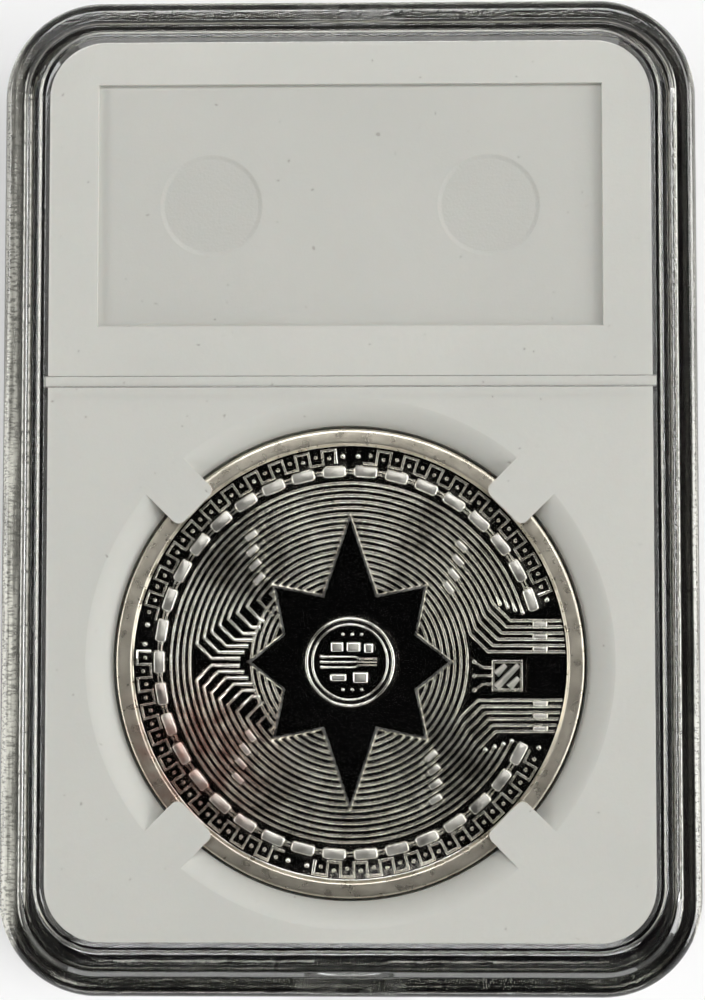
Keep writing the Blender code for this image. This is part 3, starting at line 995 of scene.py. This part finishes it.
def add_block_ring(shape, last=17):
    """Satin blocks on a thin line round the rings, open on the right where the straight lines pass."""
    slots = (LINE_SLOT, FROST_SLOT)
    for index in range(-17, last):
        centre = 180 + index * BLOCK_PITCH
        add_pad(shape, polar(BLOCK_RING, centre), centre + 90, 2.05, 1.0, 0.28, slots, 0.32)
        if index < last - 1:
            start = centre + BLOCK_PITCH * 0.36
            end = centre + BLOCK_PITCH * 0.64
            for step in (-0.14, 0.14):
                add_ridge(shape, arc_path(BLOCK_RING + step, start, end), 0.16, 0.16, LINE_SLOT)


def add_meander_ring(shape):
    """A broken square meander in the sunk band inside the rim, with a dot in each of its bays."""
    middle = (MEANDER_IN + MEANDER_OUT) / 2
    bay = ((0.0, MEANDER_IN), (0.0, MEANDER_OUT), (0.5, MEANDER_OUT), (0.5, MEANDER_IN))
    for first, count in MEANDER_RUNS:
        path = []
        for index in range(count):
            start = first + index * MEANDER_PITCH
            for share, radius in bay:
                path.append(polar(radius, start + share * MEANDER_PITCH))
            for share, step in ((0.25, -0.1), (0.75, 0.1)):
                place = polar(middle + step, start + share * MEANDER_PITCH)
                add_dot(shape, place, 0.18, 0.22, LINE_SLOT)
        end = first + count * MEANDER_PITCH
        path.append(polar(MEANDER_IN, end))
        add_ridge(shape, path, 0.22, 0.24, LINE_SLOT, section=FLAT_SECTION)
        for edge in (first - 2.0, end + 1.6):
            add_dot(shape, polar(middle, edge), 0.22, 0.24, LINE_SLOT)


def star_outline():
    """An eight-pointed compass star, anticlockwise."""
    tips = [STAR_WIDE_TIP, STAR_SHORT_TIP, STAR_LONG_TIP, STAR_SHORT_TIP] * 2
    points = []
    for index, tip in enumerate(tips):
        points.append(polar(tip, 45 * index))
        points.append(polar(STAR_VALLEY, 45 * index + 22.5))
    return points


def inset_points(points, inset):
    """An outline moved inwards by inset."""
    moved = []
    count = len(points)
    for index, here in enumerate(points):
        before = Vector(points[index - 1])
        after = Vector(points[(index + 1) % count])
        place = Vector(here)
        first = (place - before).normalized()
        last = (after - place).normalized()
        normal_first = Vector((-first.y, first.x))
        normal_last = Vector((-last.y, last.x))
        middle = (normal_first + normal_last).normalized()
        reach = inset / max(0.25, middle.dot(normal_first))
        moved.append(tuple(place + middle * reach))
    return moved


def add_emblem(shape):
    """A raised compass star with a polished face, a bright bevelled edge and a round window."""
    outline = star_outline()
    face = 0.93 * STAR_RISE
    edge = ((0.0, -0.1), (0.0, 0.5 * STAR_RISE), (0.1, 0.95 * STAR_RISE), (0.2, STAR_RISE), (0.3, face))
    loops = []
    for inset, up in edge:
        points = inset_points(outline, inset)
        loops.append(shape.add_points([(x, y, FIELD + up) for x, y in points]))
    shape.add_face(reversed(loops[0]), LINE_SLOT, smooth=False)
    shape.stack(loops, LINE_SLOT, upwards=True)
    shape.add_face(loops[-1], FIELD_SLOT, smooth=False)
    top = FIELD + face
    for radius, width, height in ((3.7, 0.26, 0.14), (3.2, 0.2, 0.1)):
        ring = arc_path(radius, 0, 360)[:-1]
        add_ridge(shape, ring, width, height, LINE_SLOT, closed=True, floor=top)
    add_window_parts(shape, top)


def add_window_parts(shape, top):
    """Small pads, lines and dots inside the emblem's round window."""
    slots = (LINE_SLOT, FROST_SLOT)
    for x, y, length, width in (
        (-1.1, 1.3, 1.0, 0.8),
        (0.3, 1.3, 1.1, 0.8),
        (1.6, 1.2, 0.7, 0.8),
        (-1.0, -1.3, 1.3, 0.6),
        (0.9, -1.3, 1.2, 0.9),
    ):
        add_pad(shape, (x, y), 0, length, width, 0.14, slots, 0.12, top)
    for level in (-0.45, 0.0, 0.45):
        path = [(-2.4, level), (0.4, level), (0.8, level * 0.6), (2.3, level * 0.6)]
        add_ridge(shape, path, 0.16, 0.12, LINE_SLOT, floor=top)
        add_dot(shape, (-2.4, level), 0.16, 0.14, LINE_SLOT, top)
    for x in (-0.6, 0.2, 1.0):
        add_dot(shape, (x, 2.35), 0.15, 0.14, LINE_SLOT, top)
        add_dot(shape, (x, -2.35), 0.15, 0.14, LINE_SLOT, top)


def add_ring_pads(shape):
    """Small satin pads that sit on the rings in four slanting rows."""
    for start, lean in ((128, 3.2), (226, -3.2), (302, 3.0), (46, -3.0)):
        for order in range(4):
            radius = OUTER_TRACK - (3 + 2 * order) * TRACK_PITCH
            degrees = start + lean * order
            place = polar(radius, degrees)
            add_pad(shape, place, degrees + 90, 1.2, 0.6, 0.27, (LINE_SLOT, FROST_SLOT), 0.16)
            add_dot(shape, polar(radius, degrees - 5.5), 0.2, 0.27, LINE_SLOT)


def add_bundle_pads(shape):
    """Pads across the straight lines, and the chip between them with its slanting bars and its leads."""
    slots = (LINE_SLOT, FROST_SLOT)
    for level in (-5.64, -4.58, -3.52, 1.12, 2.18, 3.24):
        add_pad(shape, (16.2, level), 0, 1.3, 0.5, 0.27, slots, 0.16)
    x, y = CHIP_PLACE
    half = CHIP_SIZE / 2
    border = [(x - half, y - half), (x + half, y - half), (x + half, y + half), (x - half, y + half)]
    add_ridge(shape, border, 0.28, 0.26, LINE_SLOT, closed=True)
    for shift in (-0.55, 0.0, 0.55):
        reach = half - abs(shift) - 0.25
        path = [(x + shift + side * reach, y - shift + side * reach) for side in (-1, 1)]
        add_ridge(shape, path, 0.42, 0.24, FROST_SLOT, section=FLAT_SECTION)
    for order in (-1, 0, 1):
        lead_y = y + 0.7 * order
        start = x - half
        path = [(start, lead_y), (start - 0.9, lead_y), (start - 1.6, lead_y + 0.5 * order)]
        add_ridge(shape, path, 0.2, 0.2, LINE_SLOT)
        add_dot(shape, path[-1], 0.2, 0.24, LINE_SLOT)


def add_reverse(shape):
    """The back's own drawing, turned over: blocks, rings and a satin disc."""
    back = Shape()
    add_block_ring(back, 21)
    for index in range(TRACKS):
        add_track(back, OUTER_TRACK - index * TRACK_PITCH)
    add_pad(back, (0.0, 0.0), 0, 11.0, 11.0, 0.3, (LINE_SLOT, FROST_SLOT), 5.4)
    first = len(shape.points)
    shape.points += [(x, -y, -z) for x, y, z in back.points]
    for corners, slot, smooth in zip(back.faces, back.slots, back.smooth):
        shape.add_face([first + corner for corner in corners], slot, smooth)


def make_coin(materials):
    shape = Shape()
    add_coin_body(shape)
    add_meander_ring(shape)
    add_block_ring(shape)
    add_track_rings(shape)
    add_ring_pads(shape)
    add_bundle_pads(shape)
    add_emblem(shape)
    add_reverse(shape)
    shape.points = [
        (COIN_CENTRE.x + x * MM, COIN_CENTRE.y + y * MM, COIN_CENTRE.z + z * MM)
        for x, y, z in shape.points
    ]
    made = shape.build("coin_struck", materials, COIN_SHARP)
    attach(made, "coin")
    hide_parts("coin")


# ---- stage, light and camera


FLOOR_HALF = 2.5
FLOOR_Z = -0.35 * MM
CARD_LOW = FLOOR_Z + 0.02 * MM
CARD_HIGH = -0.03 * MM
CARD_MARGIN = 0.5 * MM
LAMP_DISTANCE = 2.0
LEAST_STRENGTH = 0.42


def add_stage():
    """A pale floor, and a thin black sheet just under the slab: painted shade that darkens what is seen
    through the clear rim.
    """
    pale = Nodes("floor_paper")
    pale.set(Roughness=0.9)
    pale.drive("Base Color", pale.blend(pale.noise(30 * MM, 2.0), (0.93, 0.93, 0.93), (0.96, 0.96, 0.96)))
    shape = Shape()
    corners = ((-1, -1), (1, -1), (1, 1), (-1, 1))
    square = shape.add_points([(x * FLOOR_HALF, y * FLOOR_HALF, FLOOR_Z) for x, y in corners])
    shape.add_face(square, smooth=False)
    shape.build("floor", [pale.material])
    # Painted shade: a black sheet hidden under the slab, so that the clear rim shows dark.
    dark = Nodes("shade_card_black")
    dark.set(Roughness=1.0, Specular_IOR_Level=0.0)
    tone = dark.blend(dark.noise(0.5 * MM, 2.0), (0.002, 0.002, 0.002), (0.006, 0.005, 0.006))
    dark.drive("Base Color", tone)
    shade_card = outline_loop("rim", -CARD_MARGIN, 0.0)
    prism("shade_card", shade_card, CARD_LOW, CARD_HIGH, [dark.material])


def add_lamp(name, azimuth, elevation, width, height, radiance):
    """A soft box that faces the slab. Azimuth 0 is the slab's right side and 90 its label end.

    Width and height are shares of its distance."""
    width *= LAMP_DISTANCE
    height *= LAMP_DISTANCE
    lamp = bpy.data.lights.new(name, "AREA")
    lamp.shape = "RECTANGLE"
    lamp.size = width
    lamp.size_y = height
    lamp.energy = radiance * math.pi * width * height
    made = new_object(name, lamp)
    turn = math.radians(azimuth)
    rise = math.radians(elevation)
    out = LAMP_DISTANCE * math.cos(rise)
    made.location = (out * math.cos(turn), out * math.sin(turn), LAMP_DISTANCE * math.sin(rise))
    made.rotation_euler = (-Vector(made.location)).to_track_quat("-Z", "Y").to_euler()
    made.visible_camera = False


def add_world():
    """A studio that is dark overhead and pale near the horizon, most of all to the left and right."""
    world = bpy.data.worlds.new("studio")
    world.use_nodes = True
    nodes = world.node_tree.nodes
    links = world.node_tree.links
    sky = nodes["Background"]
    place = nodes.new("ShaderNodeTexCoord")
    split = nodes.new("ShaderNodeSeparateXYZ")
    links.new(place.outputs["Generated"], split.inputs[0])
    ramp = nodes.new("ShaderNodeValToRGB")
    horizon, overhead = ramp.color_ramp.elements
    horizon.position = 0.2
    horizon.color = (1.0, 0.99, 0.97, 1.0)
    overhead.position = 0.72
    overhead.color = (0.006, 0.006, 0.006, 1.0)
    links.new(split.outputs["Z"], ramp.inputs[0])
    links.new(ramp.outputs[0], sky.inputs["Color"])
    sideways = nodes.new("ShaderNodeMath")
    sideways.operation = "MULTIPLY"
    links.new(split.outputs["X"], sideways.inputs[0])
    links.new(split.outputs["X"], sideways.inputs[1])
    strength = nodes.new("ShaderNodeMapRange")
    strength.inputs["To Min"].default_value = LEAST_STRENGTH
    links.new(sideways.outputs[0], strength.inputs["Value"])
    links.new(strength.outputs["Result"], sky.inputs["Strength"])
    bpy.context.scene.world = world


def add_camera():
    """Nearly straight above the slab, a little towards its lower end and its right side."""
    distance = 210 * MM
    view_height = 86.31 * MM
    aim = Vector((0.18 * MM, -0.41 * MM, (FRONT_LOW.z + REAR_PARTING) / 2))
    lean = Vector((0.0225, -0.0668, 0.0))
    lean.z = math.sqrt(1.0 - lean.length_squared)
    lens = bpy.data.cameras.new("camera")
    lens.sensor_fit = "VERTICAL"
    lens.sensor_height = 24.0
    lens.lens = lens.sensor_height * distance / view_height
    lens.clip_start = 1.0 * MM
    made = new_object("camera", lens)
    made.location = aim + lean * distance
    across = Vector((0.0, 1.0, 0.0)).cross(lean).normalized()
    upwards = lean.cross(across)
    made.rotation_euler = Matrix((across, upwards, lean)).transposed().to_euler()
    bpy.context.scene.camera = made


def main():
    clear = styrene("clear_rim", 0.04, 0.0025 * MM)
    pane = styrene("clear_window", 0.02, 0.0003 * MM)
    # Painted shade: the rib material's dark tint draws dark lines along the rib's long edges.
    rib = styrene("window_rib", 0.03, 0.002 * MM, 0.7, (0.2, 0.2, 0.19))
    shell_materials = [clear, pane, weld_plastic(), edge_painted_light(), rib]
    make_rear_shell(shell_materials)
    make_front_shell(shell_materials)
    # The plate and its marks take painted shade in their depths, the marks a little more.
    plate = white_plastic("plate_white", 0.56)
    mark = white_plastic("mark_white", 0.66, 0.02 * MM)
    make_front_insert([plate, mark])
    back_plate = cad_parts["rear_insert"]
    back_plate.data.materials.clear()
    back_plate.data.materials.append(white_plastic("back_plate_white"))
    finishes = (
        ("coin_field", (0.42, 0.41, 0.39), (0.5, 0.48, 0.46), 0.02, 0.05, 0.6 * MM, 0.0003 * MM),
        ("coin_rim", (0.5, 0.455, 0.375), (0.7, 0.65, 0.55), 0.26, 0.31, 0.25 * MM, 0.0012 * MM),
        ("coin_lines", (0.8, 0.78, 0.72), (0.93, 0.91, 0.85), 0.08, 0.2, 0.15 * MM, 0.004 * MM),
        ("coin_frost", (0.26, 0.25, 0.23), (0.42, 0.41, 0.37), 0.3, 0.55, 0.2 * MM, 0.02 * MM),
    )
    make_coin([coin_metal(*finish) for finish in finishes])
    add_stage()
    add_world()
    add_lamp("key", 36, 46, 0.56, 0.3, 5.0)
    add_lamp("top", 96, 64, 0.48, 0.18, 11.0)
    add_lamp("right", -6, 20, 0.9, 0.48, 7.0)
    add_lamp("left", 184, 22, 0.9, 0.24, 6.0)
    add_lamp("low", 270, 12, 1.0, 0.3, 2.5)
    add_camera()
    bpy.context.scene.view_settings.view_transform = "Standard"


main()
